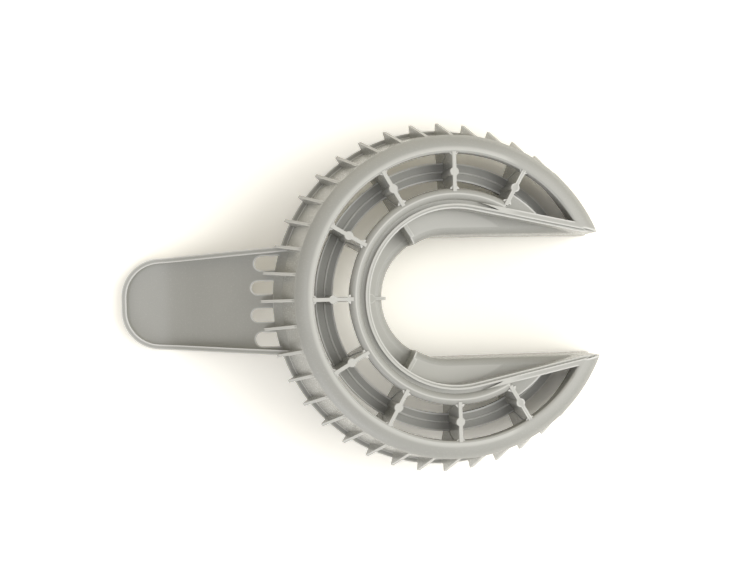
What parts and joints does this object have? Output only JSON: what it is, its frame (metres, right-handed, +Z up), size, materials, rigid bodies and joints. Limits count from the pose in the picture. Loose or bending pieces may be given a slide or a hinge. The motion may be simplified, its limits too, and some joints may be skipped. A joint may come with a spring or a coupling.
{
  "type": "pump filter",
  "caption": "Grey plastic drain-pump filter for a drawer dishwasher: half-moon ring with open throat, radial bars, outer strainer ribs and scoop handle",
  "frame": {"origin": "Centre of the bounding box in plan, at the height of the table that the filter rests on", "axes": "+X from the handle towards the open throat, +Y across the legs, +Z up from the table"},
  "size_m": [0.1383, 0.1004, 0.0383],
  "materials": {
    "grey_polypropylene": "satin moulded surface with a fine grain"
  },
  "bodies": {
    "root": {"filter_body": "grey_polypropylene"}
  },
  "joints": []
}
